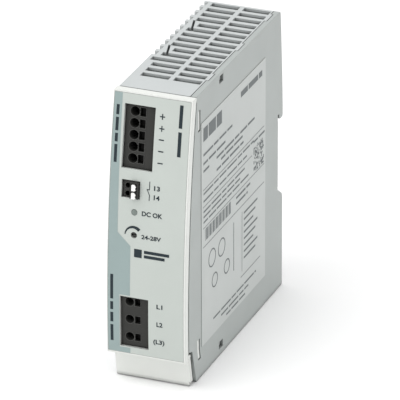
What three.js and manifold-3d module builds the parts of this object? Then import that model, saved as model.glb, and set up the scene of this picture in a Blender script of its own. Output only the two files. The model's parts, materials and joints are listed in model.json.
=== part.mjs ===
// DIN rail power supply: a slotted plastic housing with a side cover and a front cover,
// push-in terminals, a spring foot latch for the rail, and the boards and parts inside.
//
// Lengths are millimetres. Every piece is drawn from the lower left front corner of the case:
// x runs to the right, y to the rear and z up. The last group moves the part to its own frame,
// whose origin is the centre of the footprint of the bounding box.
import * as THREE from "three";
import { mergeVertices } from "three/addons/utils/BufferGeometryUtils.js";
import Module from "manifold-3d";

const wasm = await Module();
wasm.setup();

// ---------------------------------------------------------------- driving dimensions

const WIDTH = 35;
const HEIGHT = 130;
const DEPTH = 115;
const GAP = 0.3;
const WALL = 1.8;
const ROOF = 2.5;
const RIB = 1.3;
const BEYOND = 5;

// Front face: an arc in side view, foremost at one height and leaning back above it.
const FACE = { vertex: 30.1, radius: 488, step: 9 };

// Where the three shells of the case meet.
const CASE = {
  left: 0.7,
  seam: 31.9,
  right: 34.7,
  setback: 5.1,
  roofSetback: 4,
  rearTop: 112,
  footRear: 114.8,
  innerRear: 106.5,
};

// Top-hat rail 35 mm high: seat, fixed hook and foot.
const RAIL = {
  seat: 109.3,
  brimRear: 110.8,
  top: 82.7,
  lipBottom: 80,
  bottom: 47.6,
  stepBottom: 43.5,
  groove: 0.2,
};

// Ventilation slots, counted from the front row.
const SLOTS = {
  rows: 15,
  pitch: 5.66,
  first: 28.7,
  width: 3.5,
  left: [4.6, 17.2],
  right: [19.2, 31.2],
  tongueRows: [5, 10],
  tongueLeft: 7.5,
  crossRow: 3,
  crossLeft: [2.2, 6.5],
  sideVentsFrom: 4,
  sideVentBottom: 98,
};

// Tabs of the housing roof that reach into the rim of the side cover.
const TABS = { reach: 1, spans: [[32.2, 39.2], [65.6, 73.4], [99.7, 107.1]] };

// Catches: windows in the side cover for the housing and slots for the front cover's arms.
const WINDOWS = [
  { y: [40.1, 44.7], z: [125.3, 128.7] },
  { y: [39.4, 44], z: [2.9, 6.3] },
];
const UPPER_CATCH = [[16.2, 122.8], [16.2, 113.4], [18.7, 113.4], [18.7, 122.8]];
const LOWER_CATCH = [
  [14.4, 18.6], [14.6, 13.6], [15.7, 8.9],
  [18.4, 8.9], [17.4, 13.6], [17.3, 18.6],
];

// Front cover: shallow tray above, slanted chin below, and a neck that enters the shells.
const COVER = {
  depth: 3.5,
  skin: 1.8,
  side: 1.6,
  bottom: 14.3,
  shelfTop: 16.9,
  shelfRear: 8,
  chinFront: [5.9, 8.5],
  chinRear: [7.2, 10.6],
  labelRecess: 0.5,
  neckRear: 7.5,
};
const LABEL = { x: [0.4, 34.1], z: [15.2, 129.2], thick: 0.2 };

// Terminal blocks. Each is drawn about the middle of its opening: y is the depth behind the
// front face and z runs along the face. Poles count from the top down.
const OUTPUT = {
  name: "output",
  middle: 111.35,
  opening: { x: [5.1, 18.8], z: [-13.75, 13.75] },
  sunk: 1.5,
  front: 17.4,
  rear: 20,
  poles: 5,
  first: 10.7,
  pitch: 5.02,
  entry: { x: 9.4, radius: 2.1 },
  release: { x: 12.95, width: 2, height: 3.1, top: 3.2 },
};
const INPUT = {
  name: "input",
  middle: 29.65,
  opening: { x: [5.8, 18.5], z: [-11.55, 11.55] },
  sunk: 1.2,
  front: 17.4,
  rear: 23,
  poles: 3,
  first: 9.05,
  pitch: 8.05,
  entry: { x: 9.8, radius: 1.95 },
  release: { x: 13.4, width: 1.9, height: 2.8, top: 2.9 },
};
const SIGNAL = {
  middle: 89.05,
  opening: { x: [5.6, 13.8], z: [-3.9, 3.9] },
  sunk: 1,
  proudFace: -1.6,
  proudFrom: 9.9,
  rear: 9.7,
  poles: 2,
  first: 1.3,
  pitch: 3.5,
  entry: { x: 8.1, radius: 1.15 },
  release: { x: 11.6, width: 2.1, height: 2.9, top: -1.9 },
};

const LAMP = { x: 11.6, z: 79.3, radius: 1.2, hole: 1.4 };
const TRIMMER = { x: 11.7, z: 69.3, radius: 1.1, hole: 1.4, half: 3, front: 8 };

// Boards.
const MAIN_BOARD = { x: [4.2, 5.8], y: [18, 104], z: [6, 124] };
const CONTROL_BOARD = { x: [6.3, 20], y: [15, 16.6], z: [45, 93] };
const MOUNT_X = MAIN_BOARD.x[1] + GAP;

// Foot latch, guided by two rails of the housing.
const LATCH = {
  floor: 109.5,
  ledge: 112.5,
  back: 109.8,
  flangeRear: 112.2,
  rear: 114.4,
  body: [9.9, 25.1],
  flange: [7.4, 27.6],
  z: [4.6, 42],
  tooth: [12, 23],
  toothTop: 48.2,
  window: { x: [15.2, 19.8], z: [9, 29] },
  pull: { x: [13.5, 21.5], z: [6, 8] },
};
const LUG = { x: [16, 19], z: [12.6, 15], rear: 114 };
const SPRING = { coil: 1.3, wire: 0.22, turns: 6, bottom: 15.3, top: 28.7 };

// ---------------------------------------------------------------- shapes and solids

// A closed geometry as a manifold solid, with its vertices merged and slivers dropped.
function solid(geometry) {
  const bare = new THREE.BufferGeometry();
  bare.setAttribute("position", geometry.getAttribute("position"));
  bare.setIndex(geometry.index);
  const merged = mergeVertices(bare, 1e-4);
  const index = merged.index.array;
  const kept = [];
  for (let i = 0; i < index.length; i += 3) {
    const [a, b, c] = [index[i], index[i + 1], index[i + 2]];
    if (a !== b && b !== c && c !== a) kept.push(a, b, c);
  }
  return new wasm.Manifold(
    new wasm.Mesh({
      numProp: 3,
      vertProperties: merged.attributes.position.array,
      triVerts: new Uint32Array(kept),
    }),
  );
}

// A manifold solid as a three.js geometry.
function geometryOf(made) {
  const mesh = made.getMesh();
  const geometry = new THREE.BufferGeometry();
  const position = new THREE.BufferAttribute(new Float32Array(mesh.vertProperties), 3);
  geometry.setAttribute("position", position);
  geometry.setIndex(new THREE.BufferAttribute(new Uint32Array(mesh.triVerts), 1));
  geometry.computeVertexNormals();
  return geometry;
}

function cut(base, ...tools) {
  return tools.reduce((left, tool) => left.subtract(tool), base);
}

function join(base, ...more) {
  return more.reduce((all, next) => all.add(next), base);
}

// A box from its span along each axis.
function block(x, y, z) {
  const geometry = new THREE.BoxGeometry(x[1] - x[0], y[1] - y[0], z[1] - z[0]);
  geometry.translate((x[0] + x[1]) / 2, (y[0] + y[1]) / 2, (z[0] + z[1]) / 2);
  return solid(geometry);
}

// A closed outline from its corners [a, b] or [a, b, radius].
function outline(corners) {
  const shape = new THREE.Shape();
  corners.forEach(([a, b, radius = 0], i) => {
    const here = new THREE.Vector2(a, b);
    const before = new THREE.Vector2(...corners.at(i - 1).slice(0, 2));
    const after = new THREE.Vector2(...corners[(i + 1) % corners.length].slice(0, 2));
    const start = before.sub(here).setLength(radius).add(here);
    const end = after.sub(here).setLength(radius).add(here);
    if (i === 0) shape.moveTo(start.x, start.y);
    else shape.lineTo(start.x, start.y);
    if (radius > 0) shape.quadraticCurveTo(a, b, end.x, end.y);
  });
  shape.closePath();
  return shape;
}

function extrude(shape, length) {
  return new THREE.ExtrudeGeometry(shape, { depth: length, bevelEnabled: false, curveSegments: 3 });
}

// An outline in (y, z), drawn out from x[0] to x[1].
function sidePrism(corners, x) {
  const geometry = extrude(outline(corners), x[1] - x[0]);
  const turn = new THREE.Matrix4().set(0, 0, 1, x[0], 1, 0, 0, 0, 0, 1, 0, 0, 0, 0, 0, 1);
  return solid(geometry.applyMatrix4(turn));
}

// An outline in (x, y), drawn out from z[0] to z[1].
function levelPrism(corners, z) {
  return solid(extrude(outline(corners), z[1] - z[0]).translate(0, 0, z[0]));
}

// A round bar along one axis: the two centre values are the other two axes in x, y, z order.
function bar(axis, span, centre, radius, sides = 20) {
  const geometry = new THREE.CylinderGeometry(radius, radius, span[1] - span[0], sides);
  const middle = (span[0] + span[1]) / 2;
  if (axis === "x") geometry.rotateZ(-Math.PI / 2).translate(middle, centre[0], centre[1]);
  if (axis === "y") geometry.translate(centre[0], middle, centre[1]);
  if (axis === "z") geometry.rotateX(Math.PI / 2).translate(centre[0], centre[1], middle);
  return solid(geometry);
}

// A ring of rectangular section whose axis runs along x.
function ring(x, centre, inner, outer, sides = 24) {
  const half = (x[1] - x[0]) / 2;
  const profile = [[inner, -half], [outer, -half], [outer, half], [inner, half], [inner, -half]];
  const points = profile.map(([r, h]) => new THREE.Vector2(r, h));
  const geometry = new THREE.LatheGeometry(points, sides);
  geometry.rotateZ(-Math.PI / 2).translate(x[0] + half, centre[0], centre[1]);
  return solid(geometry);
}

// A strip of even thickness along a bent line in (x, y), drawn out over z.
function strip(line, thickness, z) {
  const points = line.map(([a, b]) => new THREE.Vector2(a, b));
  const offset = (side) =>
    points.map((point, i) => {
      const from = points[Math.max(i - 1, 0)];
      const to = points[Math.min(i + 1, points.length - 1)];
      const along = to.clone().sub(from).normalize();
      return [point.x - along.y * side * thickness / 2, point.y + along.x * side * thickness / 2];
    });
  return levelPrism([...offset(-1), ...offset(1).reverse()], z);
}

const grow = ([low, high], by) => [low - by, high + by];
const around = (middle, size) => [middle - size / 2, middle + size / 2];
const count = (number) => Array.from({ length: number }, (_, i) => i);

// How far the front face lies behind its foremost line at height z.
const face = (z) => FACE.radius - Math.sqrt(FACE.radius ** 2 - (z - FACE.vertex) ** 2);

// Points down the front face between two heights, set back from it.
function faceLine(top, bottom, back) {
  const { vertex, step } = FACE;
  const inner = count(13).map((i) => vertex + step * (11 - i));
  const heights = [top, ...inner.filter((z) => z < top - 1 && z > bottom + 1), bottom];
  return heights.map((z) => [face(z) + back, z]);
}

// A slab that follows the front face from one depth behind it to another.
function faceSlab(x, [top, bottom], [front, rear]) {
  return sidePrism([...faceLine(top, bottom, front), ...faceLine(top, bottom, rear).reverse()], x);
}

// The place of something set square into the front face at height z.
function seatAt(z) {
  const lean = Math.asin((z - FACE.vertex) / FACE.radius);
  return new THREE.Matrix4().makeTranslation(0, face(z), z).multiply(new THREE.Matrix4().makeRotationX(-lean));
}

function moved(made, matrix) {
  return solid(geometryOf(made).applyMatrix4(matrix));
}

// ---------------------------------------------------------------- materials

function finish(colour, roughness, metalness = 0) {
  return () => new THREE.MeshStandardMaterial({ color: colour, roughness, metalness });
}

const lightGrey = finish(0xd2d6d6, 0.55);
const midGrey = finish(0xb0b4b3, 0.5);
const bezelWhite = finish(0xdcdfdb, 0.5);
const filmGreen = finish(0xced3cc, 0.4);
const paperGrey = finish(0xc5c9c8, 0.6);
const blackPlastic = finish(0x2e2e2d, 0.5);
const whitePlastic = finish(0xf2f2ee, 0.45);
const clearPlastic = finish(0xb8c4bc, 0.15);
const boardGreen = finish(0x1f5a3a, 0.45);
const insulator = finish(0xe6e6da, 0.6);
const sleeveBlue = finish(0x1e2430, 0.35);
const ferrite = finish(0x3a3a3c, 0.7);
const tapeYellow = finish(0xd8b53a, 0.5);
const copper = finish(0xb06a3a, 0.35, 0.9);
const aluminium = finish(0xc4c6c8, 0.35, 0.9);
const springSteel = finish(0xb8bbbe, 0.3, 1);
const ceramicWhite = finish(0xe2ddcf, 0.5);
const filmBox = finish(0xc9a23c, 0.45);
const discBlue = finish(0x2c4f9a, 0.45);
const discGreen = finish(0x2f6b4c, 0.5);
const epoxy = finish(0x1c1c1e, 0.5);
const lampGreen = finish(0x6f8f6c, 0.3);

const assembly = new THREE.Group();

function place(name, made, material, at = [0, 0, 0], group = assembly) {
  const mesh = new THREE.Mesh(geometryOf(made), material());
  mesh.name = name;
  mesh.position.set(...at);
  group.add(mesh);
}

// A group whose own y runs square into the front face at height z.
function leaningGroup(z) {
  const group = new THREE.Group();
  group.applyMatrix4(seatAt(z));
  assembly.add(group);
  return group;
}

// ---------------------------------------------------------------- case

// Side view of the case: front edge with the chin's slant, rear with the rail recess.
const CASE_SIDE = [
  ...faceLine(HEIGHT, 17.3, CASE.setback),
  [8.8, 16.3],
  [13.4, 0],
  [CASE.footRear, 0, 1],
  [CASE.footRear, RAIL.stepBottom, 1.5],
  [RAIL.seat - RAIL.groove, RAIL.bottom, 0.5],
  [RAIL.seat - RAIL.groove, RAIL.bottom + 1.4],
  [RAIL.seat, RAIL.bottom + 1.4],
  [RAIL.seat, RAIL.lipBottom - GAP],
  [RAIL.seat - RAIL.groove, RAIL.lipBottom - GAP],
  [RAIL.seat - RAIL.groove, RAIL.top],
  [RAIL.brimRear, RAIL.top],
  [RAIL.brimRear, RAIL.lipBottom + 0.8],
  [RAIL.brimRear + 1, RAIL.lipBottom],
  [DEPTH, RAIL.lipBottom, 1.2],
  [DEPTH, 84, 2],
  [DEPTH - 0.7, 100, 10],
  [CASE.rearTop, HEIGHT, 1.5],
];

const CAVITY_SIDE = [
  [-BEYOND, HEIGHT - ROOF],
  [-BEYOND, ROOF],
  [CASE.innerRear, ROOF],
  [CASE.innerRear, 85.4],
  [113, 85.4],
  [110, HEIGHT - ROOF],
];

const slotRow = (i) => SLOTS.first + SLOTS.pitch * i;

// All slots of one end of the housing; z spans the wall that they pass through.
function ventSlots(z) {
  const cuts = [];
  for (const i of count(SLOTS.rows)) {
    const y = around(slotRow(i), SLOTS.width);
    const tongue = SLOTS.tongueRows.includes(i);
    cuts.push(block([tongue ? SLOTS.tongueLeft : SLOTS.left[0], SLOTS.left[1]], y, z));
    cuts.push(block(SLOTS.right, y, z));
  }
  cuts.push(block(SLOTS.crossLeft, around(slotRow(SLOTS.crossRow), SLOTS.width), z));
  for (const row of SLOTS.tongueRows) cuts.push(tongueSlit(slotRow(row), z));
  return cuts;
}

// The slanted slit that frees a tongue between the slots on either side of its row.
function tongueSlit(y, z) {
  const half = SLOTS.pitch - SLOTS.width / 2 + 0.2;
  return levelPrism([[3.7, y + half], [5.9, y - half], [6.9, y - half], [4.7, y + half]], z);
}

// The roof and the floor are thinner where the slots are.
const thinField = (z) => block([3.4, 31.4], [26, 110], z);

// Slots in the left wall that run up over its upper edge.
function sideVents() {
  const rows = count(SLOTS.rows).filter((i) => i >= SLOTS.sideVentsFrom);
  return rows.map((i) =>
    block([0, 2.6], around(slotRow(i), SLOTS.width), [SLOTS.sideVentBottom, HEIGHT + 1]),
  );
}

// Channel of the foot latch: wide at its floor, narrower at its mouth, open above for the tooth.
function latchChannel() {
  return [
    block([7, 28], [LATCH.floor, LATCH.ledge], [-1, 42.4]),
    block([9.6, 25.4], [LATCH.ledge - 0.1, DEPTH + 1], [-1, 42.4]),
    block([11.7, 23.3], [LATCH.floor, DEPTH + 1], [41, 49.4]),
  ];
}

function springLug() {
  return block(LUG.x, [RAIL.seat - 0.5, LUG.rear], LUG.z);
}

// Tabs on the seam of the roof and of the floor.
function seamTabs() {
  const x = [CASE.seam - 0.5, CASE.seam + TABS.reach];
  return TABS.spans.flatMap((y) => [
    block(x, y, [HEIGHT - ROOF, HEIGHT]),
    block(x, y, [0, ROOF]),
  ]);
}

// The housing's own catches, which show in the windows of the side cover.
function housingCatch({ y, z }, upper) {
  const span = grow(y, -0.4);
  const stem = upper ? [z[0] + 0.4, HEIGHT - ROOF + 0.5] : [ROOF - 0.5, z[1] - 0.4];
  return join(
    block([28, CASE.seam], span, stem),
    block([28, CASE.right - 1.2], span, grow(z, -0.4)),
  );
}

// The roof reaches further forward than the side walls.
function roofFront(x) {
  const front = face(HEIGHT) + CASE.roofSetback;
  return block(x, [front, front + 2], [HEIGHT - ROOF, HEIGHT]);
}

function housingShell() {
  const walls = cut(
    sidePrism(CASE_SIDE, [CASE.left, CASE.seam]),
    sidePrism(CAVITY_SIDE, [CASE.left + WALL, WIDTH + BEYOND]),
    ...ventSlots([HEIGHT - ROOF - 1, HEIGHT + 1]),
    ...ventSlots([-1, ROOF + 1]),
    thinField([HEIGHT - ROOF - 1, HEIGHT - RIB]),
    thinField([RIB, ROOF + 1]),
    ...sideVents(),
    ...latchChannel(),
    sidePrism(UPPER_CATCH, [0, WALL + 1]),
    sidePrism(LOWER_CATCH, [0, WALL + 1]),
  );
  return join(
    walls,
    roofFront([CASE.left, CASE.seam]),
    springLug(),
    ...seamTabs(),
    housingCatch(WINDOWS[0], true),
    housingCatch(WINDOWS[1], false),
  );
}

function sideCover() {
  const rim = CASE.seam + GAP;
  const inner = CASE.right - WALL + 0.3;
  const tabRoom = TABS.spans.flatMap((y) => [
    block([rim - 1, inner], grow(y, GAP), [HEIGHT - ROOF - 1, HEIGHT + 1]),
    block([rim - 1, inner], grow(y, GAP), [-1, ROOF + 1]),
  ]);
  return cut(
    join(sidePrism(CASE_SIDE, [rim, CASE.right]), roofFront([rim, CASE.right])),
    sidePrism(CAVITY_SIDE, [rim - 1, inner]),
    ...tabRoom,
    ...WINDOWS.map(({ y, z }) => block([rim, WIDTH + 1], y, z)),
    sidePrism(UPPER_CATCH, [rim, WIDTH + 1]),
    sidePrism(LOWER_CATCH, [rim, WIDTH + 1]),
  );
}

// ---------------------------------------------------------------- front cover and labels

const frontOpenings = () => [
  ...[OUTPUT, SIGNAL, INPUT].map(({ middle, opening }) =>
    moved(block(opening.x, [-3, COVER.depth + 3], opening.z), seatAt(middle)),
  ),
  bar("y", [-1, 12], [LAMP.x, LAMP.z], LAMP.hole, 16),
  bar("y", [-1, 12], [TRIMMER.x, TRIMMER.z], TRIMMER.hole, 16),
];

// A catch's outline made smaller all round. Its corners run down one side and up the other.
function shrink(corners, by) {
  const half = corners.length / 2;
  return corners.map(([y, z], i) => {
    const atTop = i === 0 || i === corners.length - 1;
    const atBottom = i === half - 1 || i === half;
    return [y + (i < half ? by : -by), z + (atTop ? -by : 0) + (atBottom ? by : 0)];
  });
}

// Snap arms: two on the right reach into the side cover, two on the left into the housing.
function snapArms() {
  const upper = shrink(UPPER_CATCH, 0.4);
  const lower = shrink(LOWER_CATCH, 0.4);
  const arms = [
    { web: [31.3, 32.8], hook: [32.6, 34.4] },
    { web: [2.8, 4.2], hook: [1, 3] },
  ];
  return arms.flatMap(({ web, hook }) => [
    block(web, [9.7, 18.6], [113.8, 122.4]),
    sidePrism(upper, hook),
    block(web, [7.5, 17.6], [9.3, 15.5]),
    sidePrism(lower, hook),
  ]);
}

// The neck closes the gap between the tray and the shells from inside.
function coverNeck() {
  const { bottom, neckRear } = COVER;
  return cut(
    faceSlab([2.8, 32.6], [HEIGHT - ROOF - GAP, bottom + 1], [1, neckRear]),
    faceSlab([4, 31.4], [HEIGHT - ROOF - GAP - 1.2, bottom - 2], [0, neckRear + 1]),
  );
}

function frontCover() {
  const { depth, skin, side, bottom, shelfTop, shelfRear, labelRecess } = COVER;
  const { chinFront, chinRear } = COVER;
  const tray = cut(
    faceSlab([0, WIDTH], [HEIGHT, bottom], [0, depth]),
    faceSlab([side, WIDTH - side], [HEIGHT - side, shelfTop], [skin, depth + 1]),
  );
  const shelf = sidePrism(
    [[1, bottom], [shelfRear, bottom], [shelfRear - 0.7, bottom + 1.4], [4.3, bottom + 1.6], [4.3, shelfTop], [1, shelfTop]],
    [CASE.left, WIDTH - CASE.left],
  );
  const chin = sidePrism(
    [[chinFront[0], bottom + 1], [chinFront[1], 0.2], [chinRear[1], 0.2], [chinRear[0], bottom + 1]],
    [CASE.left, WIDTH - CASE.left],
  );
  const chinNotch = block([33.4, WIDTH], [0, 20], [-1, 2.2]);
  const recess = faceSlab(grow(LABEL.x, 0.1), [LABEL.z[1] + 0.1, LABEL.z[0] - 0.1], [-1, labelRecess]);
  return cut(
    join(tray, coverNeck(), shelf, cut(chin, chinNotch), ...snapArms()),
    recess,
    ...frontOpenings(),
  );
}

function frontLabel() {
  const film = faceSlab(LABEL.x, [LABEL.z[1], LABEL.z[0]], [0, LABEL.thick]);
  return cut(film, ...frontOpenings());
}

function ratingLabel() {
  return block([CASE.right + 0.06, CASE.right + 0.26], [19.2, 93.5], [13.7, 116]);
}

// ---------------------------------------------------------------- terminals

// Leaf of a push-in clamp: back along the cavity, up and over towards the wire's way in.
function clampSpring({ entry, release }, rear, width) {
  const line = [
    [entry.x - 1.2, rear - 0.6],
    [release.x + 1.1, rear - 0.6],
    [release.x + 1.7, rear - 2],
    [release.x + 0.2, rear - 2.8],
    [entry.x + 0.9, rear - 1.6],
  ];
  return strip(line, 0.35, [-width / 2, width / 2]);
}

function terminal(spec) {
  const { name, middle, opening, sunk, front, rear, poles, first, pitch, entry, release } = spec;
  const group = leaningGroup(middle);
  const x = grow(opening.x, -GAP);
  const z = grow(opening.z, -GAP);
  const cavity = { front: sunk + 6.5, rear: front - 1.4, height: pitch - 1 };
  let body = join(
    block(x, [sunk, 8], z),
    block([MOUNT_X, x[1]], [7, rear], z),
  );
  for (const i of count(poles)) {
    const level = first - pitch * i;
    body = cut(
      body,
      bar("y", [sunk - 1, cavity.front + 1], [entry.x, level], entry.radius, 16),
      block(
        around(release.x, release.width + 2 * GAP),
        [sunk - 1, cavity.front + 1],
        around(level, release.height + 2 * GAP),
      ),
      block([entry.x - 2, release.x + 2.4], [cavity.front, cavity.rear], around(level, cavity.height)),
    );
    const pusher = block(
      around(0, release.width),
      [0, cavity.front + 1.2 - release.top],
      around(0, release.height),
    );
    place(`${name}_release_${i + 1}`, pusher, blackPlastic, [release.x, release.top, level], group);
    const leaf = clampSpring(spec, cavity.rear, cavity.height - 1);
    place(`${name}_clamp_${i + 1}`, leaf, springSteel, [0, 0, level], group);
  }
  place(`${name}_terminal_housing`, body, blackPlastic, [0, 0, 0], group);
}

// The signal terminal is smaller, and its release half stands proud of the front cover.
function signalTerminal() {
  const { opening, sunk, proudFace, proudFrom, rear, poles, first, pitch, entry, release } = SIGNAL;
  const group = leaningGroup(SIGNAL.middle);
  const [left, right] = grow(opening.x, -GAP);
  const z = grow(opening.z, -GAP);
  const cavityFront = sunk + 4;
  const cavityRear = rear - 1;
  let body = join(block([left, right], [sunk, rear], z), block([proudFrom, right], [proudFace, rear], z));
  for (const i of count(poles)) {
    const level = first - pitch * i;
    body = cut(
      body,
      bar("y", [sunk - 1, cavityFront + 1], [entry.x, level], entry.radius, 12),
      block(
        around(release.x, release.width + 2 * GAP),
        [proudFace - 1, cavityFront + 1],
        around(level, release.height + 0.5),
      ),
      block([entry.x - 1.2, release.x + 1.3], [cavityFront, cavityRear], around(level, 3)),
    );
    const pusher = block(
      around(0, release.width),
      [0, cavityFront + 0.4 - release.top],
      around(0, release.height),
    );
    place(`signal_release_${i + 1}`, pusher, whitePlastic, [release.x, release.top, level], group);
    const line = [
      [entry.x - 0.8, cavityRear - 0.5],
      [release.x + 0.7, cavityRear - 0.5],
      [release.x + 0.7, cavityRear - 1.2],
      [entry.x + 1, cavityRear - 1.6],
    ];
    place(`signal_clamp_${i + 1}`, strip(line, 0.25, [-1.2, 1.2]), springSteel, [0, 0, level], group);
  }
  place("signal_terminal_housing", body, blackPlastic, [0, 0, 0], group);
}

// ---------------------------------------------------------------- lamp and trimmer

function lampParts() {
  const centre = [LAMP.x, LAMP.z];
  const ledTop = CONTROL_BOARD.y[0] - GAP - 1.6;
  const front = face(LAMP.z);
  const pipe = join(
    bar("y", [front + 0.1, ledTop - GAP], centre, LAMP.radius, 16),
    bar("y", [front + 2.4, front + 3.6], centre, LAMP.radius + 0.8, 16),
  );
  place("led_light_pipe", pipe, clearPlastic);
  const led = block(around(LAMP.x, 3.2), [ledTop, ledTop + 1.6], around(LAMP.z, 2.8));
  place("status_led", led, lampGreen);
}

function trimmerParts() {
  const { x, z, radius, half, front } = TRIMMER;
  const rear = CONTROL_BOARD.y[0] - GAP;
  const top = face(z) + 0.9;
  const body = cut(
    block([x - half, x + half], [front, rear], [z - half, z + half]),
    bar("y", [front - 1, rear - 1.2], [x, z], radius + GAP + 0.1, 16),
  );
  place("trimmer_body", body, discBlue);
  const rotor = cut(
    bar("y", [0, rear - 1.6 - top], [0, 0], radius, 20),
    block([-radius - 1, radius + 1], [-1, 0.6], [-0.25, 0.25]),
  );
  place("trimmer_rotor", rotor, whitePlastic, [x, top, z]);
}

// ---------------------------------------------------------------- foot latch

function footLatch() {
  const { back, flangeRear, rear, body, flange, z, tooth, toothTop, window, pull } = LATCH;
  const hook = [
    [back + 1.2, z[1] - 1],
    [rear, z[1] - 1],
    [rear, toothTop - 2],
    [back + 1.9, toothTop],
    [back + 1.2, toothTop],
  ];
  return cut(
    join(
      block(body, [back, rear], z),
      block(flange, [back, flangeRear], [z[0] + 4, z[1]]),
      sidePrism(hook, tooth),
    ),
    block(window.x, [back - 1, rear + 1], window.z),
    block(pull.x, [back - 1, rear + 1], pull.z),
  );
}

// The coil spring stands on the housing's lug and pushes the latch up.
function latchSpring() {
  const { coil, wire, turns, bottom, top } = SPRING;
  const centre = { x: (LUG.x[0] + LUG.x[1]) / 2, y: (LATCH.back + LATCH.rear) / 2 };
  const steps = turns * 12;
  const points = count(steps + 1).map((i) => {
    const angle = (2 * Math.PI * turns * i) / steps;
    const height = bottom + wire + ((top - bottom - 2 * wire) * i) / steps;
    return new THREE.Vector3(
      centre.x + coil * Math.cos(angle),
      centre.y + coil * Math.sin(angle),
      height,
    );
  });
  const section = new THREE.Shape(
    count(5).map((i) => {
      const angle = (2 * Math.PI * i) / 5;
      return new THREE.Vector2(wire * Math.cos(angle), wire * Math.sin(angle));
    }),
  );
  const path = new THREE.CatmullRomCurve3(points);
  return solid(new THREE.ExtrudeGeometry(section, { steps, extrudePath: path, bevelEnabled: false }));
}

// ---------------------------------------------------------------- boards and parts on them

function boards() {
  place("main_board", block(MAIN_BOARD.x, MAIN_BOARD.y, MAIN_BOARD.z), boardGreen);
  place("control_board", block(CONTROL_BOARD.x, CONTROL_BOARD.y, CONTROL_BOARD.z), boardGreen);
  place("insulation_sheet", block([3, 3.4], [20, 103], [7, 96]), insulator);
}

function inputParts() {
  for (const i of count(3)) {
    const fuse = bar("y", [0, 20], [0, 0], 2.6, 16);
    place(`input_fuse_${i + 1}`, fuse, ceramicWhite, [MOUNT_X + 2.8, 25, 26 - 7 * i]);
  }
  place("varistor", bar("z", [9, 13.5], [MOUNT_X + 7.2, 56], 7, 20), discBlue);
  place("inrush_thermistor", bar("z", [18, 23.5], [MOUNT_X + 7, 56], 6.8, 20), discGreen);
  place("mains_choke", ring([MOUNT_X, 21], [75, 18], 4.5, 10.5), copper);
  place("filter_capacitor_1", block([MOUNT_X, 21], [23.6, 41.1], [31, 39.4]), filmBox);
  place("filter_capacitor_2", block([MOUNT_X, 21], [42, 59.5], [31, 39.4]), filmBox);
  place("bridge_rectifier", block([MOUNT_X + 1.5, 26], [92, 97.5], [7.5, 28]), epoxy);
}

function primaryParts() {
  const plate = join(
    block([MOUNT_X, 29], [63, 103], [31, 33]),
    block([MOUNT_X, MOUNT_X + 2], [63, 103], [28.6, 32]),
  );
  place("primary_heatsink", plate, aluminium);
  place("power_transistor", block([11, 26], [76, 86], [33.3, 37.8]), epoxy);
  for (const i of count(2)) {
    const level = 50.6 + 22.8 * i;
    place(`bulk_capacitor_${i + 1}`, bar("y", [60, 100], [MOUNT_X + 11.2, level], 11, 24), sleeveBlue);
  }
}

function transformer() {
  const y = [20, 54];
  const z = [43.5, 80];
  const core = cut(
    block([12, 25], y, z),
    block([11, 26], [25.5, 31.7], [49.5, 74]),
    block([11, 26], [42.3, 48.5], [49.5, 74]),
  );
  place("transformer_core", core, ferrite);
  const winding = cut(
    block([MOUNT_X, 30.5], [25.8, 48.2], [49.8, 73.7]),
    block([11.7, 25.3], [31.4, 42.6], [45, 80]),
  );
  place("transformer_winding", winding, tapeYellow);
}

function outputParts() {
  const plate = join(
    block([MOUNT_X, 29.5], [36, 38], [84, 122]),
    block([MOUNT_X, MOUNT_X + 2], [33.6, 37], [94, 122]),
  );
  place("output_heatsink", plate, aluminium);
  place("output_rectifier", block([9, 24.5], [38.3, 42.8], [96, 112]), epoxy);
  for (const i of count(3)) {
    const can = bar("x", [MOUNT_X, 29], [51.5, 118 - 13 * i], 5.8, 20);
    place(`output_capacitor_${i + 1}`, can, sleeveBlue);
  }
  place("output_choke", ring([MOUNT_X, 21], [76, 105], 5.5, 13), copper);
  place("signal_relay", block([MOUNT_X, 16.2], [19, 33], [82.6, 92]), blackPlastic);
  place("optocoupler", block([MOUNT_X, 9.8], [94, 100.4], [87, 93.4]), epoxy);
}

// ---------------------------------------------------------------- assembly

place("housing_shell", housingShell(), lightGrey);
place("side_cover", sideCover(), midGrey);
place("front_cover", frontCover(), bezelWhite);
place("front_label", frontLabel(), filmGreen);
place("rating_label", ratingLabel(), paperGrey);
terminal(OUTPUT);
signalTerminal();
terminal(INPUT);
lampParts();
trimmerParts();
place("din_foot_latch", footLatch(), midGrey);
place("latch_spring", latchSpring(), springSteel);
boards();
inputParts();
primaryParts();
transformer();
outputParts();

const part = new THREE.Group();
part.name = "din_rail_power_supply";
assembly.position.set(-WIDTH / 2, -DEPTH / 2, 0);
part.add(assembly);

export default part;
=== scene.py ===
import json
import math
import random

import bpy
from mathutils import Matrix, Vector


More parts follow.
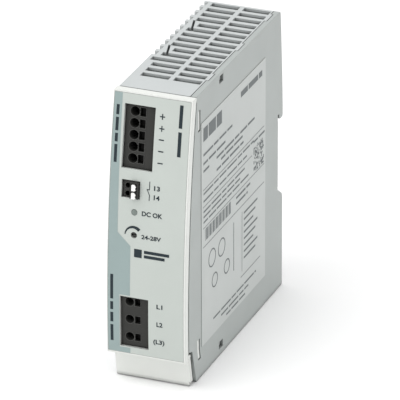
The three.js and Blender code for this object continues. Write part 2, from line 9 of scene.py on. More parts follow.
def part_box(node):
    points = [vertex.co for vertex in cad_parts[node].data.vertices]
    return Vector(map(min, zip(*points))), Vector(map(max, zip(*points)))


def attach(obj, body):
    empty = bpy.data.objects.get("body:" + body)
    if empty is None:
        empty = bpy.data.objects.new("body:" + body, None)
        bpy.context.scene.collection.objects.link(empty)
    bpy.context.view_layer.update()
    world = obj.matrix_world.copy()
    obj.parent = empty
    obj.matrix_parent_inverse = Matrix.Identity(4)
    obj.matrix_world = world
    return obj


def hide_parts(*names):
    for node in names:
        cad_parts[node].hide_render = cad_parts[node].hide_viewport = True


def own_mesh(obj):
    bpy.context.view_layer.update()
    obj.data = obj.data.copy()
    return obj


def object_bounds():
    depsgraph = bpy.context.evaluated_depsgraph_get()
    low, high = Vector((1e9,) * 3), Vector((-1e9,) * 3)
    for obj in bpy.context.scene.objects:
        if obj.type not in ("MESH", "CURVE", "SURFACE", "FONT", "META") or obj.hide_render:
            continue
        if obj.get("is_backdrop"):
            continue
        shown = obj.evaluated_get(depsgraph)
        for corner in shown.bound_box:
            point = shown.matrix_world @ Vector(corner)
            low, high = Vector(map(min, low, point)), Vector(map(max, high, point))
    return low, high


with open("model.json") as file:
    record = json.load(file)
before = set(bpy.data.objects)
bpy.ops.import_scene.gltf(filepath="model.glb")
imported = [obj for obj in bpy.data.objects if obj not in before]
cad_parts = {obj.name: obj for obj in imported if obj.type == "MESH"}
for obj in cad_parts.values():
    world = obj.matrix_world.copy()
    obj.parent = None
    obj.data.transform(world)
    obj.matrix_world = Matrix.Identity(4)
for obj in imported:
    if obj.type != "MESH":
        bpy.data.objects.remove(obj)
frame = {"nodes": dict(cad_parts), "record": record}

MM = 0.001
low, high = (Vector(corner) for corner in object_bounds())

# Lengths are in millimetres unless a comment says otherwise. Positions on the case are measured
# from its lower left front corner: x to the right, y to the rear, z up.

# Front face of the case: an arc in side view.
ARC_VERTEX = 30.1
ARC_RADIUS = 488

# Printed layers: height above the surface they lie on, and thickness.
PRINT_LIFT = 0.03
PRINT_THICK = 0.03
STRIPE_THICK = 0.045
STICKER_LIFT = 0.02

# Places on the front face, as (x, z).
LAMP = (11.6, 79.3)
TRIMMER = (11.7, 69.3)

# Terminal blocks. Levels are measured up the face from the block's middle.
# entry is (x, radius) of the wire holes. square is (x, width, height) of the raised square frames:
# round the pusher openings of the power blocks, and round the wire holes of the signal block.
TERMINALS = {
    "output": dict(middle=111.35, sunk=1.5, poles=5, first=10.7, pitch=5.02,
                   entry=(9.4, 2.1), square=(12.95, 2.6, 3.7)),
    "input": dict(middle=29.65, sunk=1.2, poles=3, first=9.05, pitch=8.05,
                  entry=(9.8, 1.95), square=(13.4, 2.5, 3.4)),
    "signal": dict(middle=89.05, sunk=1.0, poles=2, first=1.3, pitch=3.5,
                   entry=(8.1, 1.15), square=(8.1, 2.6, 2.9)),
}


def at(x, y, z):
    """A point given in millimetres from the lower left front corner of the case."""
    return Vector((low.x + x * MM, low.y + y * MM, low.z + z * MM))


def arc(z):
    """How far behind its foremost line the front face lies at height z."""
    return ARC_RADIUS - math.sqrt(ARC_RADIUS ** 2 - (z - ARC_VERTEX) ** 2)


def lean(z):
    """Angle by which the front face leans back at height z."""
    return math.asin((z - ARC_VERTEX) / ARC_RADIUS)


# ------------------------------------------------------------------ materials

def srgb(r, g, b):
    """A linear colour from 8-bit display values."""
    def linear(c):
        c /= 255
        return c / 12.92 if c <= 0.04045 else ((c + 0.055) / 1.055) ** 2.4
    return (linear(r), linear(g), linear(b), 1)


def add(tree, kind, inputs=None, **settings):
    """A new shader node with its settings and socket values."""
    made = tree.nodes.new(kind)
    for key, value in settings.items():
        setattr(made, key, value)
    for key, value in (inputs or {}).items():
        made.inputs[key].default_value = value
    return made


def stretched(tree, scale):
    """Object coordinates, scaled by a different amount along each axis."""
    place = add(tree, "ShaderNodeTexCoord")
    mapping = add(tree, "ShaderNodeMapping", {"Scale": scale})
    tree.links.new(place.outputs["Object"], mapping.inputs["Vector"])
    return mapping.outputs["Vector"]


def bands(tree, pattern):
    """A value between 0 and 1 over the surface: winding bands, board traces or brush marks."""
    link = tree.links.new
    if pattern == "wound":
        wave = add(tree, "ShaderNodeTexWave", {"Scale": 500.0, "Distortion": 0.6, "Detail": 1.0},
                   bands_direction="Z")
        link(stretched(tree, (1, 1, 1)), wave.inputs["Vector"])
        return wave.outputs["Fac"]
    if pattern == "traces":
        brick = add(tree, "ShaderNodeTexBrick", {
            "Scale": 90.0, "Mortar Size": 0.06, "Mortar Smooth": 0.2,
            "Color1": (0.6, 0.6, 0.6, 1), "Color2": (1, 1, 1, 1), "Mortar": (0, 0, 0, 1)})
        link(stretched(tree, (1, 1, 1)), brick.inputs["Vector"])
        return brick.outputs["Color"]
    brushed = add(tree, "ShaderNodeTexNoise", {"Scale": 1.0, "Detail": 2.0})
    link(stretched(tree, (300, 40, 3000)), brushed.inputs["Vector"])
    return brushed.outputs["Fac"]


def painted_gap_shade(tree, colour):
    """Painted shade: darkens a colour in narrow gaps and corners, where little light reaches."""
    link = tree.links.new
    occlusion = add(tree, "ShaderNodeAmbientOcclusion", {"Distance": 3 * MM}, samples=8)
    share = add(tree, "ShaderNodeMapRange", {"From Min": 0.25, "From Max": 0.85, "To Min": 0.25})
    link(occlusion.outputs["AO"], share.inputs["Value"])
    darker = add(tree, "ShaderNodeVectorMath", operation="SCALE")
    link(colour, darker.inputs[0])
    link(share.outputs["Result"], darker.inputs["Scale"])
    return darker.outputs["Vector"]


def surface(name, colour, roughness=0.5, metallic=0.0, second=None, pattern=None,
            grain=1500.0, depth=0.12, mottle=0.03, edge=0.3, coat=0.0, gloss=0.4,
            shade_gaps=True):
    """Moulded, printed or drawn surface: drifting tint, fine grain, rounded-looking edges, painted shade
    in narrow gaps.
    """
    made = bpy.data.materials.new(name)
    made.use_nodes = True
    tree = made.node_tree
    link = tree.links.new
    shader = tree.nodes["Principled BSDF"]
    shader.inputs["Metallic"].default_value = metallic
    shader.inputs["Coat Weight"].default_value = coat
    shader.inputs["Specular IOR Level"].default_value = gloss
    drift = add(tree, "ShaderNodeTexNoise", {"Scale": 55.0, "Detail": 4.0})
    link(stretched(tree, (1, 1, 1)), drift.inputs["Vector"])
    tint = add(tree, "ShaderNodeMix", data_type="RGBA")
    other = second or tuple(c * (1 - 2 * mottle) for c in colour[:3]) + (1,)
    tint.inputs["A"].default_value = tuple(c * (1 + mottle) for c in colour[:3]) + (1,)
    tint.inputs["B"].default_value = other
    link(bands(tree, pattern) if pattern else drift.outputs["Fac"], tint.inputs["Factor"])
    # Painted shade: the base colour is darkened in narrow gaps and corners unless this is turned off.
    link(painted_gap_shade(tree, tint.outputs["Result"]) if shade_gaps else tint.outputs["Result"],
         shader.inputs["Base Color"])
    sheen = add(tree, "ShaderNodeMapRange", {"To Min": roughness - 0.06, "To Max": roughness + 0.06})
    link(drift.outputs["Fac"], sheen.inputs["Value"])
    link(sheen.outputs["Result"], shader.inputs["Roughness"])
    fine = add(tree, "ShaderNodeTexNoise", {"Scale": grain, "Detail": 2.0})
    link(stretched(tree, (1, 1, 1)), fine.inputs["Vector"])
    bump = add(tree, "ShaderNodeBump", {"Strength": depth, "Distance": 0.1 * MM})
    link(fine.outputs["Fac"], bump.inputs["Height"])
    if edge:
        rounded = add(tree, "ShaderNodeBevel", {"Radius": edge * MM}, samples=6)
        link(rounded.outputs["Normal"], bump.inputs["Normal"])
    link(bump.outputs["Normal"], shader.inputs["Normal"])
    return made


FINISHES = {
    "housing_plastic": dict(colour=srgb(191, 195, 195), roughness=0.55),
    "cover_plastic": dict(colour=srgb(170, 175, 173), roughness=0.5),
    "latch_plastic": dict(colour=srgb(160, 164, 163)),
    "bezel_plastic": dict(colour=srgb(223, 225, 221), roughness=0.42, edge=0.5),
    "label_film": dict(colour=srgb(189, 195, 190), roughness=0.4, depth=0.04, edge=0, shade_gaps=False),
    "label_paper": dict(colour=srgb(188, 192, 190), roughness=0.45, depth=0.04, edge=0, shade_gaps=False),
    "terminal_plastic": dict(colour=srgb(56, 56, 54), roughness=0.55, edge=0.2, gloss=0.15),
    "release_black": dict(colour=srgb(22, 21, 20), roughness=0.6, edge=0.2, gloss=0.1),
    "release_white": dict(colour=srgb(243, 243, 240), roughness=0.4, edge=0.2),
    "lens_plastic": dict(colour=srgb(112, 122, 117), roughness=0.2, edge=0.2, coat=0.5),
    "trimmer_blue": dict(colour=srgb(44, 70, 140), roughness=0.4),
    "trimmer_white": dict(colour=srgb(84, 86, 84), roughness=0.4, edge=0.1),
    "circuit_board": dict(colour=srgb(31, 92, 60), roughness=0.35, pattern="traces",
                          second=srgb(44, 122, 80), edge=0),
    "insulation_film": dict(colour=srgb(230, 230, 218), roughness=0.6, edge=0),
    "spring_steel": dict(colour=srgb(196, 196, 198), roughness=0.3, metallic=1.0,
                         pattern="brushed", edge=0.1),
    "ceramic_tube": dict(colour=srgb(226, 221, 207), roughness=0.5),
    "disc_blue": dict(colour=srgb(44, 79, 154), roughness=0.35, coat=0.3),
    "disc_green": dict(colour=srgb(47, 107, 76), roughness=0.45),
    "choke_copper": dict(colour=srgb(190, 112, 62), roughness=0.35, metallic=0.6,
                         pattern="wound", second=srgb(96, 48, 26)),
    "film_box": dict(colour=srgb(206, 166, 62), roughness=0.4),
    "epoxy_black": dict(colour=srgb(32, 32, 34), roughness=0.5, edge=0.2),
    "heatsink_metal": dict(colour=srgb(200, 202, 204), roughness=0.35, metallic=1.0,
                           pattern="brushed", second=srgb(168, 170, 173), edge=0.2),
    "capacitor_sleeve": dict(colour=srgb(30, 38, 54), roughness=0.3, coat=0.3),
    "ferrite": dict(colour=srgb(58, 58, 60), roughness=0.7, grain=500.0, depth=0.4),
    "winding_tape": dict(colour=srgb(220, 184, 60), roughness=0.4, pattern="wound",
                         second=srgb(190, 150, 44)),
    "relay_case": dict(colour=srgb(48, 48, 47), roughness=0.45),
    "lamp_body": dict(colour=srgb(116, 150, 112), roughness=0.25, coat=0.4),
}
finishes = {name: surface(name, **values) for name, values in FINISHES.items()}
ink = surface("print_ink", srgb(40, 50, 55), roughness=0.5, edge=0, depth=0.03, gloss=0.2, shade_gaps=False)
faint_ink = surface("faint_ink", srgb(96, 102, 103), roughness=0.5, edge=0, depth=0.03, shade_gaps=False)
stripe_ink = surface("stripe_ink", srgb(147, 163, 162), roughness=0.4, edge=0, depth=0.03, shade_gaps=False)
slot_of = {row["node"]: row["material_slot"] for row in frame["record"]["subparts"]}
for name, shown in frame["nodes"].items():
    shown.data.materials.clear()
    shown.data.materials.append(finishes[slot_of[name]])


# Softly rounded edges on the moulded parts, by the width of the rounding in millimetres.
ROUNDED = {
    "front_cover": 0.35, "housing_shell": 0.25, "side_cover": 0.3, "din_foot_latch": 0.3,
    "output_terminal_housing": 0.12, "input_terminal_housing": 0.12, "signal_terminal_housing": 0.12,
}
for name, width in ROUNDED.items():
    rounding = frame["nodes"][name].modifiers.new("rounding", "BEVEL")
    rounding.width = width * MM
    rounding.segments = 2
    rounding.limit_method = "ANGLE"
    rounding.angle_limit = math.radians(35)
    rounding.use_clamp_overlap = True


# ------------------------------------------------------------------ building pieces

def piece(name, vertices, faces, finish, body="case"):
    """A new mesh object that rides a body and takes the finish it is given."""
    mesh = bpy.data.meshes.new(name)
    mesh.from_pydata([tuple(v) for v in vertices], [], faces)
    mesh.update()
    made = bpy.data.objects.new(name, mesh)
    bpy.context.scene.collection.objects.link(made)
    mesh.materials.append(finish)
    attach(made, body)
    return made


def on_front(lift):
    """Maps (x, z) on the front film to a point that stands lift in front of it."""
    return lambda x, z, up=0.0: at(x, arc(z) - lift - up, z)


sticker_x = (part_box("rating_label")[1].x - low.x) / MM


def on_sticker(y, z, up=0.0):
    """Maps (y, z) on the side sticker to a point just outside it."""
    return at(sticker_x + STICKER_LIFT + up, y, z)


def plates(outlines, place, thick):
    """Thin closed plates over flat outlines, each laid on its surface by place."""
    vertices, faces = [], []
    for corners in outlines:
        start, size = len(vertices), len(corners)
        vertices += [place(u, v) for u, v in corners]
        vertices += [place(u, v, thick) for u, v in corners]
        faces.append([start + i for i in range(size)][::-1])
        faces.append([start + size + i for i in range(size)])
        for i in range(size):
            j = (i + 1) % size
            faces.append([start + i, start + j, start + size + j, start + size + i])
    return vertices, faces


def box_outline(u0, u1, v0, v1):
    """Corners of an upright rectangle."""
    return [(u0, v0), (u1, v0), (u1, v1), (u0, v1)]


def between(start, end, share):
    """The value that share of the way from start to end."""
    return start + (end - start) * share


def columns(edges, step=3.0):
    """Cuts a shape given by (v, u_left, u_right) rows into short plates that follow a curve."""
    outlines = []
    for (v0, a0, b0), (v1, a1, b1) in zip(edges, edges[1:]):
        parts = max(1, round(abs(v1 - v0) / step))
        for i in range(parts):
            s, t = i / parts, (i + 1) / parts
            outlines.append([
                (between(a0, a1, s), between(v0, v1, s)), (between(b0, b1, s), between(v0, v1, s)),
                (between(b0, b1, t), between(v0, v1, t)), (between(a0, a1, t), between(v0, v1, t))])
    return outlines


def stroke(points, width):
    """Plates along a line of points."""
    outlines = []
    for start, end in zip(points, points[1:]):
        a, b = Vector(start), Vector(end)
        along = (b - a).normalized() * width / 2
        across = Vector((-along.y, along.x))
        corners = (a - along - across, b + along - across, b + along + across, a - along + across)
        outlines.append([tuple(c) for c in corners])
    return outlines


def ring_outlines(x, z, inner, outer, first, last, steps):
    """Plates of a ring or arc; inner may change along it, given as (start, end)."""
    outlines = []
    for i in range(steps):
        corners = []
        for step, radius in ((i, "in"), (i, "out"), (i + 1, "out"), (i + 1, "in")):
            share = step / steps
            turn = math.radians(first + (last - first) * share)
            size = outer if radius == "out" else between(*inner, share)
            corners.append((x + size * math.cos(turn), z + size * math.sin(turn)))
        outlines.append(corners)
    return outlines


# ------------------------------------------------------------------ print on the front film

def front_print(name, outlines, finish=ink, lift=PRINT_LIFT, thick=PRINT_THICK):
    vertices, faces = plates(outlines, on_front(lift), thick)
    return piece(name, vertices, faces, finish)


def lettering(name, text, x, z):
    """Generic marks, drawn with the built-in font and fitted to a box on the film: x and z are
    the box's two ends along each axis."""
    curve = bpy.data.curves.new(name, "FONT")
    curve.body = text
    curve.resolution_u = 3
    curve.offset = 0.028
    curve.extrude = 0.5
    source = bpy.data.objects.new(name + "_source", curve)
    bpy.context.scene.collection.objects.link(source)
    bpy.context.view_layer.update()
    mesh = bpy.data.meshes.new_from_object(source)
    bpy.data.objects.remove(source)
    spots = [v.co.copy() for v in mesh.vertices]
    left, right = min(v.x for v in spots), max(v.x for v in spots)
    bottom, top = min(v.y for v in spots), max(v.y for v in spots)
    place = on_front(PRINT_LIFT)
    vertices = []
    for v in spots:
        u = between(x[0], x[1], (v.x - left) / (right - left))
        w = between(z[0], z[1], (v.y - bottom) / (top - bottom))
        vertices.append(place(u, w, PRINT_THICK if v.z > 0 else 0.0))
    faces = [list(p.vertices) for p in mesh.polygons]
    return piece(name, vertices, faces, ink)


def words(u, top, lengths, gap, thick):
    """A column of short bars, from the top down, in place of words set up the side."""
    outlines = []
    left, right = u - thick / 2, u + thick / 2
    for length in lengths:
        outlines += columns([(top, left, right), (top - length, left, right)])
        top -= length + gap
    return outlines


def level_bar(top, bottom, left, right):
    return columns([(top, left, right), (bottom, left, right)])


def stripe_outlines():
    """Stripe down the left edge: it widens in the middle and passes left of the input terminals."""
    film_low, film_high = ((corner - low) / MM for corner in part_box("front_label"))
    left = film_low.x + 0.05
    narrow, before_bend, wide, beside_window = 3.9, 4.45, 10.3, 5.6
    bend_top, bend_bottom = 69.7, 64.2
    window_top, window_bottom = 41.8, 17.6
    upper = [(film_high.z - 0.1, left, narrow), (bend_top, left, before_bend),
             (bend_bottom, left, wide), (window_top, left, wide)]
    middle = [(window_top, left, beside_window), (window_bottom, left, beside_window)]
    lower = [(window_bottom, left, wide), (film_low.z + 0.1, left, wide)]
    return columns(upper) + columns(middle) + columns(lower)


def minus(x, z, width=0.5):
    return stroke([(x - 0.9, z), (x + 0.9, z)], width)


def plus(x, z):
    return minus(x, z, 0.45) + stroke([(x, z - 1), (x, z + 1)], 0.45)


front_print("front_stripe", stripe_outlines(), stripe_ink, lift=0.0, thick=STRIPE_THICK)
front_print("pole_signs", plus(22, 121.6) + plus(22, 116.6) + minus(22.1, 111.9)
            + minus(22.1, 107) + minus(22.1, 102))
front_print("contact_symbol", stroke([(18, 93.5), (18, 90.1), (17.2, 90.1)], 0.32)
            + stroke([(16.9, 90.2), (18.1, 87.7), (18, 85.5)], 0.32))
front_print("dial_arc", ring_outlines(*TRIMMER, inner=(3.7, 2.6), outer=4.1, first=180, last=45, steps=28))
lettering("mark_13", "13", (20, 22.6), (90, 92.1))
lettering("mark_14", "14", (20, 22.6), (86, 88.1))
lettering("mark_lamp", "DC OK", (15, 24.1), (78.3, 80.4))
lettering("mark_range", "24-28V", (15.1, 23.8), (68.2, 70.1))
lettering("mark_l1", "L1", (22.2, 24.9), (37.9, 39.9))
lettering("mark_l2", "L2", (22.2, 24.9), (29.7, 31.8))
lettering("mark_l3", "(L3)", (20.7, 25.7), (21, 23.6))
front_print("name_bars", words(30.1, 127.5, (9.6, 10.4), gap=1.6, thick=1.5)
            + level_bar(63.4, 59.7, 12, 15.4)
            + level_bar(63.2, 61.9, 16.4, 27.6)
            + level_bar(61.2, 59.9, 16.4, 25.6))
front_print("output_rating_bars", words(2.25, 124, (4.2, 5.6, 3.6, 7.6), gap=1.1, thick=1.3),
            lift=2 * PRINT_LIFT)
front_print("input_rating_bars", words(2.15, 50.5, (11.2, 3.6, 4.4, 7.4), gap=1.3, thick=1.3),
            lift=2 * PRINT_LIFT)


# ------------------------------------------------------------------ print on the side sticker

def sticker_bars():
    """Rows of plain bars in place of words, with thin unbroken rules between them."""
    front, top = 19.3, 116.0
    gap, rule_height = 1.1, 0.5
    # Each row is (start, end, upper edge, lower edge), measured back from front and down from top.
    rows = [
        (2, 23, 3, 9), (45, 70, 4, 6.6), (2, 35, 14.6, 15.6), (2, 27, 18.6, 19.6),
        (2, 8.5, 22, 23), (17, 61, 22, 23), (22, 47, 24.6, 25.6), (17, 48, 27.6, 28.6),
        (1.5, 72.5, 30.8, 31.1), (2, 60, 32.4, 33.2), (2, 52, 35.8, 36.6), (60, 73, 33, 33.9),
        (1.5, 58, 38.6, 38.9), (2, 50, 40.6, 41.4), (2, 44, 43, 43.8), (2, 54, 45.4, 46.2),
        (1.5, 72.5, 48.3, 48.6), (39.5, 56, 50.2, 51.2), (39.5, 53, 53, 54),
        (1.5, 72.5, 57, 57.3), (45, 68, 90.1, 90.4), (13, 63, 94.6, 95.4),
        (22, 54, 97.2, 98), (28, 50, 99.6, 100.4),
    ]
    outlines = []
    for y0, y1, v0, v1 in rows:
        cursor, bars_in_row = y0, 0
        is_rule = v1 - v0 < rule_height
        while cursor < y1:
            left_over = y1 - cursor
            bar = 5 + 3 * ((bars_in_row * 7 + int(v0)) % 3)
            length = left_over if is_rule else min(bar, left_over)
            outlines.append(box_outline(front + cursor, front + cursor + length, top - v1, top - v0))
            cursor += length + gap
            bars_in_row += 1
    return outlines


def sticker_codes():
    """A strip of upright lines and a chequered square, neither of which can be read."""
    outlines = []
    lines, spacing, strip_front, strip_bottom, strip_top = 24, 1.25, 23, 61.2, 66.6
    for i in range(lines):
        width = 0.35 + 0.3 * ((i * 5) % 3)
        y = strip_front + i * spacing
        outlines.append(box_outline(y, y + width, strip_bottom, strip_top))
    draw = random.Random(5)
    cell, across, filled, gap = 0.75, 16, 0.45, 0.04
    square_front, square_top = 79.4, 80.4
    for row in range(across):
        for column in range(across):
            if draw.random() < filled:
                y, z = square_front + cell * column, square_top - cell * row
                outlines.append(box_outline(y, y + cell - gap, z - cell + gap, z))
    return outlines


def sticker_marks():
    """Blank rings, boxes and a ruled column in place of the marks on the lower half."""
    outlines = []
    line = 0.6
    for y, z, size in ((31, 50, 4.2), (42, 50, 4.2), (34, 38.5, 3.4), (48, 38.5, 3.4)):
        outlines += ring_outlines(y, z, (size - line, size - line), size, 0, 360, 24)
    outlines += stroke([(56, 55), (56, 33)], 0.5)
    bars, pitch, height, start, top = 8, 3, 0.9, 68, 54.9
    for i in range(bars):
        end = 84 - 2.5 * (i % 3)
        outlines.append(box_outline(start, end, top - height - pitch * i, top - pitch * i))
    outlines.append(box_outline(65.6, 65.9, 28, 56))
    return outlines


def sticker_print(name, outlines):
    vertices, faces = plates(outlines, on_sticker, PRINT_THICK)
    return piece(name, vertices, faces, faint_ink)


sticker_print("sticker_bars", sticker_bars())
sticker_print("sticker_codes", sticker_codes())
sticker_print("sticker_marks", sticker_marks())


# ------------------------------------------------------------------ details of the terminals

def seat(middle):
    """Frame of a block set square into the front face: x across, y inwards, z up the face."""
    turn = Matrix.Rotation(-lean(middle), 4, "X")
    return Matrix.Translation(at(0, arc(middle), middle)) @ turn


def in_block(middle, depth):
    """Maps (x, z) in a block's own frame to a point at that depth behind the face."""
    block = seat(middle)
    return lambda x, z, up=0.0: block @ Vector((x * MM, (depth - up) * MM, z * MM))


def frame_outlines(x, z, width, height, edge):
    """Four bars round an opening."""
    x0, x1, z0, z1 = x - width / 2, x + width / 2, z - height / 2, z + height / 2
    return [
        box_outline(x0 - edge, x1 + edge, z1, z1 + edge), box_outline(x0 - edge, x1 + edge, z0 - edge, z0),
        box_outline(x0 - edge, x0, z0, z1), box_outline(x1, x1 + edge, z0, z1)]


rim_finish = surface("rim_plastic", srgb(74, 74, 72), roughness=0.5, edge=0.1, gloss=0.2)


def rims(name, middle, sunk, poles, first, pitch, entry, square):
    """Raised rims round the wire holes of a terminal block, and its raised square frames."""
    round_rim, square_rim, rim_height, sink = 0.28, 0.25, 0.12, 0.01
    entry_x, radius = entry
    square_x, width, height = square
    outlines = []
    for i in range(poles):
        level = first - pitch * i
        outlines += ring_outlines(entry_x, level, (radius, radius), radius + round_rim, 0, 360, 24)
        outlines += frame_outlines(square_x, level, width, height, square_rim)
    vertices, faces = plates(outlines, in_block(middle, sunk + sink), rim_height)
    return piece(name, vertices, faces, rim_finish)


for name, terminal in TERMINALS.items():
    rims(name + "_rims", **terminal)


def signal_pushers():
    """White pushers with two driver notches in their right edge."""
    outline = [
        (-1.05, -1.45), (0.35, -1.45), (0.75, -1.1), (1.05, -0.9), (0.6, -0.35), (0.8, 0.1),
        (1.05, 0.4), (0.75, 0.8), (0.3, 1.45), (-0.6, 1.45), (-1.05, 1.1)]
    centre_x, back, length = 11.6, 5.2, 7.1
    block = TERMINALS["signal"]
    place = in_block(block["middle"], back)
    for i in range(block["poles"]):
        node = f"signal_release_{i + 1}"
        level = block["first"] - block["pitch"] * i
        shape = [(centre_x + x, level + z) for x, z in outline]
        vertices, faces = plates([shape], place, length)
        finish = finishes["release_white"]
        made = piece(f"signal_pusher_{i + 1}", vertices, faces, finish, node)
        bevel = made.modifiers.new("soft_edges", "BEVEL")
        bevel.width = 0.15 * MM
        bevel.segments = 2
        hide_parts(node)


signal_pushers()


# ------------------------------------------------------------------ guard under the slots

def guard(name, level, rear):
    """Mesh guard that lies close behind the ventilation slots, in two crossed layers of wire."""
    left, right, front, wire, pitch = 3.6, 31.2, 26.2, 0.4, 1.0
    layer = wire / 2
    starts = [left + i * pitch for i in range(int((right - left) / pitch))]
    vertices, faces = plates([box_outline(x, x + wire, front, rear) for x in starts],
                             lambda x, y, up=0.0: at(x, y, level + up), layer)
    starts = [front + i * pitch for i in range(int((rear - front) / pitch))]
    crossing, sides = plates([box_outline(left, right, y, y + wire) for y in starts],
                             lambda x, y, up=0.0: at(x, y, level + layer + up), layer)
    sides = [[len(vertices) + i for i in side] for side in sides]
    return piece(name, vertices + crossing, faces + sides, guard_finish)


guard_finish = surface("guard_mesh", srgb(174, 179, 177), roughness=0.6, edge=0)
guard("upper_guard", level=128.15, rear=109.8)
guard("lower_guard", level=1.45, rear=106.0)  # stops short of the foot latch's channel


# ------------------------------------------------------------------ return spring of the foot latch

def coil(foot, length, outer, wire=0.22, turns=7.5, flat=0.75, steps=24, sides=8):
    """Round wire wound upwards from foot, with the first and last of its turns lying flat."""
    radius = outer - wire
    bottom, top = foot.z + wire, foot.z + length - wire
    count = int(turns * steps)
    vertices, faces = [], []
    for i in range(count + 1):
        turn = i / steps
        rise = min(max((turn - flat) / (turns - 2 * flat), 0), 1)
        angle = 2 * math.pi * turn
        for j in range(sides):
            swing = 2 * math.pi * j / sides
            out = radius + wire * math.cos(swing)
            vertices.append(at(foot.x + out * math.cos(angle), foot.y + out * math.sin(angle),
                               between(bottom, top, rise) + wire * math.sin(swing)))
    for i in range(count):
        for j in range(sides):
            k = (j + 1) % sides
            faces.append([i * sides + j, i * sides + k, (i + 1) * sides + k, (i + 1) * sides + j])
    faces.append(list(range(sides))[::-1])
    faces.append([count * sides + j for j in range(sides)])
    return vertices, faces


def latch_coil(node):
    """Compression spring of the foot latch, wound to the size of its part; the mesh keeps this length."""
    a, b = ((corner - low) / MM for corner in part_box(node))
    length = b.z - a.z
    foot = Vector(((a.x + b.x) / 2, (a.y + b.y) / 2, a.z))
    vertices, faces = coil(foot, length, (b.x - a.x) / 2)
    made = piece("latch_coil", vertices, faces, finishes["spring_steel"])
    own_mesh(made)
    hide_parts(node)


latch_coil("latch_spring")


# ------------------------------------------------------------------ lamp lens and chokes

def lamp_lens():
    """Domed end of the light pipe."""
    rings, sides, dome_height, dome_radius = 5, 24, 0.45, 1.35
    lamp_x, lamp_z = LAMP
    front = arc(lamp_z)
    vertices, faces = [at(lamp_x, front - dome_height, lamp_z)], []
    for ring in range(1, rings + 1):
        swing = ring / rings * math.pi / 2
        radius = dome_radius * math.sin(swing)
        for side in range(sides):
            turn = 2 * math.pi * side / sides
            vertices.append(at(lamp_x + radius * math.cos(turn), front - dome_height * math.cos(swing),
                               lamp_z + radius * math.sin(turn)))
    faces += [[0, 1 + i, 1 + (i + 1) % sides] for i in range(sides)]
    for ring in range(rings - 1):
        a, b = 1 + ring * sides, 1 + (ring + 1) * sides
        faces += [[a + i, b + i, b + (i + 1) % sides, a + (i + 1) % sides] for i in range(sides)]
    last = 1 + (rings - 1) * sides
    faces.append([last + i for i in range(sides)][::-1])
    return piece("lamp_lens", vertices, faces, finishes["lens_plastic"])


lamp_lens()


def choke_winding(node, turns):
    """Enamelled wire wound round the ring core of a choke."""
    a, b = ((corner - low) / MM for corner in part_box(node))
    middle = (a + b) / 2
    outer = (b.y - a.y) / 2
    inner = outer * 0.43
    half = (b.x - a.x) / 2
    wire_radius, wound_share, squeeze = 0.45, 0.92, 0.96
    curve = bpy.data.curves.new(node + "_winding", "CURVE")
    curve.dimensions = "3D"
    curve.bevel_depth = wire_radius * MM
    curve.bevel_resolution = 2
    line = curve.splines.new("POLY")
    loop = [(inner - 0.3, -half - 0.1), (outer - 0.5, -half - 0.1),
            (outer - 0.5, half - 0.5), (inner - 0.3, half - 0.5)]
    count = turns * len(loop)
    points = []
    for i in range(count):
        turn = 2 * math.pi * (i / count) * wound_share
        radius, x = loop[i % len(loop)]
        points.append(at(middle.x + x * squeeze, middle.y + radius * math.cos(turn),
                         middle.z + radius * math.sin(turn)))
    line.points.add(len(points) - 1)
    for point, spot in zip(line.points, points):
        point.co = (*spot, 1)
    source = bpy.data.objects.new(node + "_source", curve)
    bpy.context.scene.collection.objects.link(source)
    bpy.context.view_layer.update()
    mesh = bpy.data.meshes.new_from_object(source)
    bpy.data.objects.remove(source)
    return piece(node + "_winding", [v.co for v in mesh.vertices],
                 [list(p.vertices) for p in mesh.polygons], finishes["choke_copper"])


choke_winding("mains_choke", 26)
choke_winding("output_choke", 30)


# ------------------------------------------------------------------ floor, light and camera

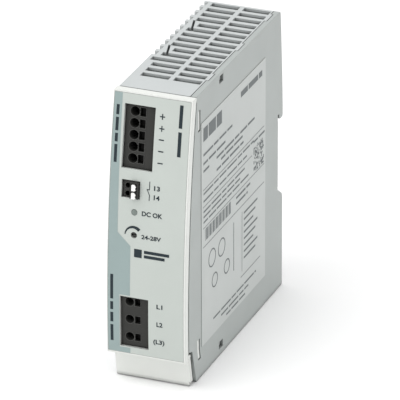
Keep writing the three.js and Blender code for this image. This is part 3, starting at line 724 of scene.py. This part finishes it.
def floor():
    """Plain pale floor, just under the case. Sizes are in metres."""
    span, gap = 4.0, 0.0002
    mesh = bpy.data.meshes.new("floor")
    corners = [(-span, -span, 0), (span, -span, 0), (span, span, 0), (-span, span, 0)]
    mesh.from_pydata(corners, [], [(0, 1, 2, 3)])
    made = bpy.data.objects.new("floor", mesh)
    bpy.context.scene.collection.objects.link(made)
    made.location.z = low.z - gap
    mesh.materials.append(surface("floor_white", srgb(253, 253, 253), roughness=0.9, depth=0.01,
                                  mottle=0.004, edge=0, shade_gaps=False))
    made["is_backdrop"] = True


def lamp(name, position, target, size, watts):
    """Round soft light at a position in metres, turned towards its target."""
    light = bpy.data.lights.new(name, "AREA")
    light.shape = "DISK"
    light.size = size
    light.energy = watts
    made = bpy.data.objects.new(name, light)
    made.location = position
    made.rotation_euler = (Vector(target) - Vector(position)).to_track_quat("-Z", "Y").to_euler()
    bpy.context.scene.collection.objects.link(made)


def camera():
    """Pinhole camera from its place, its turn round the object, its height angle and its roll."""
    place = at(756.1, -1810.6, 994.6)
    azimuth, elevation, roll = (math.radians(a) for a in (21.53, 24.90, -0.14))
    back = Vector((math.sin(azimuth) * math.cos(elevation),
                   -math.cos(azimuth) * math.cos(elevation), math.sin(elevation)))
    side = Vector((math.cos(azimuth), math.sin(azimuth), 0))
    above = back.cross(side)
    right = math.cos(roll) * side + math.sin(roll) * above
    up = math.cos(roll) * above - math.sin(roll) * side
    data = bpy.data.cameras.new("camera")
    data.sensor_width = 36
    data.lens = 471.5
    data.clip_end = 20
    made = bpy.data.objects.new("camera", data)
    turn = Matrix((right, up, back)).transposed()
    made.matrix_world = Matrix.Translation(place) @ turn.to_4x4()
    bpy.context.scene.collection.objects.link(made)
    bpy.context.scene.camera = made


def studio_world():
    """Even white surroundings."""
    world = bpy.data.worlds.new("studio")
    world.use_nodes = True
    background = world.node_tree.nodes["Background"]
    background.inputs["Color"].default_value = (1, 1, 1, 1)
    background.inputs["Strength"].default_value = 0.78
    bpy.context.scene.world = world


floor()
middle = (low + high) / 2
lamp("key_light", (-0.7, -1.1, 1.5), middle, size=1.6, watts=9.5)
lamp("top_light", (-0.1, -0.15, 1.8), middle, size=1.6, watts=9.5)
lamp("edge_light", (1.2, -0.6, 1.1), middle, size=1.0, watts=2.5)
studio_world()
bpy.context.scene.view_settings.view_transform = "Standard"
camera()
